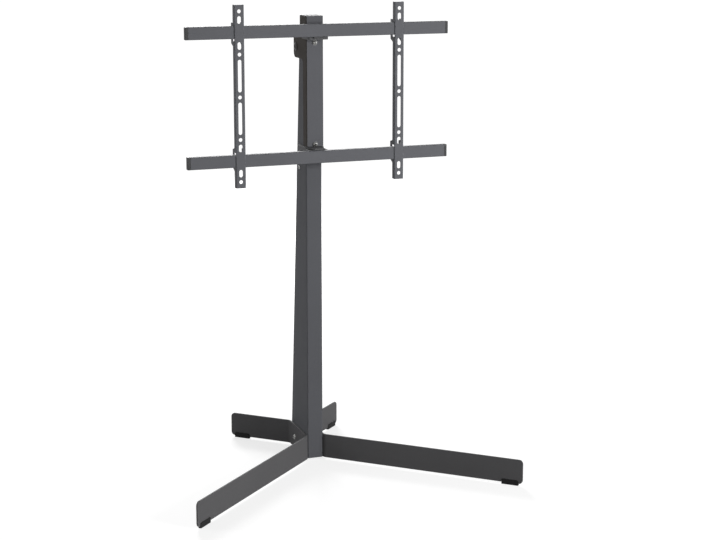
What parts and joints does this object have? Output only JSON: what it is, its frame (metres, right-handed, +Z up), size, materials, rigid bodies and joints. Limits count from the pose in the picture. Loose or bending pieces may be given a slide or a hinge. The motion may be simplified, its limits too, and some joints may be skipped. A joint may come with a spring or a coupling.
{
  "type": "tv stand with mount",
  "caption": "Floor stand with a slim tapered column on a spread-leg base, and cross bars with sliding hooked rails that carry a flat screen.",
  "frame": {"origin": "on the floor, below the middle of the bounding box", "axes": "+Z up, the screen hangs on the -Y side, +X to the right of someone who faces the screen"},
  "size_m": [0.8048, 0.612, 1.14],
  "materials": {
    "column_paint": "fine matt anthracite powder coat",
    "bar_paint": "fine matt anthracite powder coat",
    "base_paint": "fine matt anthracite powder coat",
    "black_metal": "black coated steel",
    "zinc": "bright zinc plate",
    "black_plastic": "fine-grained black plastic"
  },
  "bodies": {
    "stand": {"column_shell": "column_paint", "mount_spine": "column_paint", "bar_bracket_upper": "column_paint", "bar_bracket_lower": "column_paint", "top_bar": "bar_paint", "bottom_bar": "bar_paint", "base_strip_left": "base_paint", "base_strip_right": "base_paint", "clamp_bolt": "black_metal", "clamp_washer_left": "black_metal", "clamp_washer_right": "black_metal", "clamp_nut": "black_metal", "clamp_sleeve": "black_metal", "lower_bracket_bolt": "black_metal", "lower_bracket_washer_left": "black_metal", "lower_bracket_washer_right": "black_metal", "lower_bracket_nut": "black_metal", "lower_bracket_sleeve": "black_metal", "base_crossbar_front": "zinc", "base_crossbar_rear": "zinc", "base_bolt_left_front": "zinc", "base_bolt_left_rear": "zinc", "base_bolt_right_front": "zinc", "base_bolt_right_rear": "zinc", "side_screw_left": "zinc", "side_screw_right": "zinc", "spine_bolt_upper": "zinc", "spine_bolt_lower": "zinc", "spine_washer_upper": "zinc", "spine_washer_lower": "zinc", "spine_spacer_upper": "zinc", "spine_spacer_lower": "zinc", "spine_nut_upper": "zinc", "spine_nut_lower": "zinc", "column_cable_cover": "black_plastic", "foot_front_left": "black_plastic", "foot_front_right": "black_plastic", "foot_rear_left": "black_plastic", "foot_rear_right": "black_plastic", "top_bar_cap_left": "black_plastic", "top_bar_cap_right": "black_plastic", "bottom_bar_cap_left": "black_plastic", "bottom_bar_cap_right": "black_plastic"},
    "rail_left": {"rail_left": "bar_paint"},
    "rail_right": {"rail_right": "bar_paint"}
  },
  "joints": [
    {"name": "rail_left_slide", "type": "slide", "parent": "stand", "child": "rail_left", "axis": [1, 0, 0], "range_m": [-0.105, 0.16]},
    {"name": "rail_right_slide", "type": "slide", "parent": "stand", "child": "rail_right", "axis": [1, 0, 0], "range_m": [-0.16, 0.105]}
  ]
}
